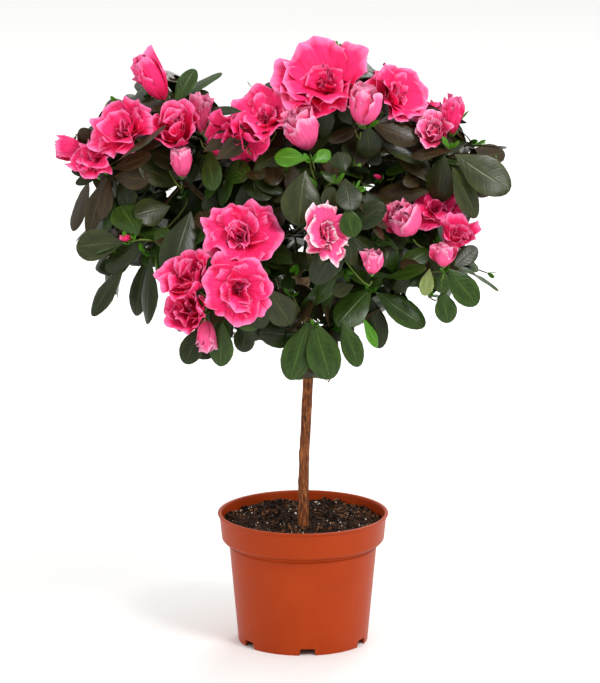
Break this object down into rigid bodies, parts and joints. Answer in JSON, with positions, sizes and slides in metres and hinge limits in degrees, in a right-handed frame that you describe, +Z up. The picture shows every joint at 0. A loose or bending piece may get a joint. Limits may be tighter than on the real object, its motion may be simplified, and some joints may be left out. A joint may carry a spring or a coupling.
{
  "type": "potted azalea shrub",
  "caption": "Azalea trained as a small standard tree: a bare stem, a loose round head of dark leaves with double pink blooms, in a terracotta-coloured plastic nursery pot.",
  "frame": {"origin": "on the ground, under the middle of the box of the whole plant; the pot's own axis is 13.9 mm towards +X and 3.7 mm towards -Y from it, because the head grows further out to the left", "axes": "+Z up, -Y towards the viewer in front, +X to the viewer's right"},
  "size_m": [0.3514, 0.2922, 0.4734],
  "materials": {
    "pot": "satin",
    "soil": "matte",
    "bark": "matte",
    "graft_bark": "matte",
    "leaves": "satin",
    "blossom": "satin"
  },
  "bodies": {
    "root": {"pot": "pot", "potting_soil": "soil", "stem": "bark", "graft_union": "graft_bark", "crotch": "bark", "bough_leader": "bark", "bough_far_left": "bark", "bough_lower_left": "bark", "bough_under_front": "bark", "bough_lower_right": "bark", "bough_under_back": "bark", "bough_top": "bark", "bough_upper_left": "bark", "bough_upper_right": "bark", "bough_front": "bark", "bough_back_left": "bark", "bough_back_right": "bark", "leaves_crown_top": "leaves", "leaves_top_left": "leaves", "leaves_upper_left": "leaves", "leaves_far_left": "leaves", "leaves_lower_left": "leaves", "leaves_front_middle": "leaves", "leaves_upper_right": "leaves", "leaves_lower_right": "leaves", "leaves_under_front": "leaves", "leaves_back_left": "leaves", "leaves_back_middle": "leaves", "leaves_back_right": "leaves", "leaves_under_back": "leaves"}
  },
  "joints": []
}
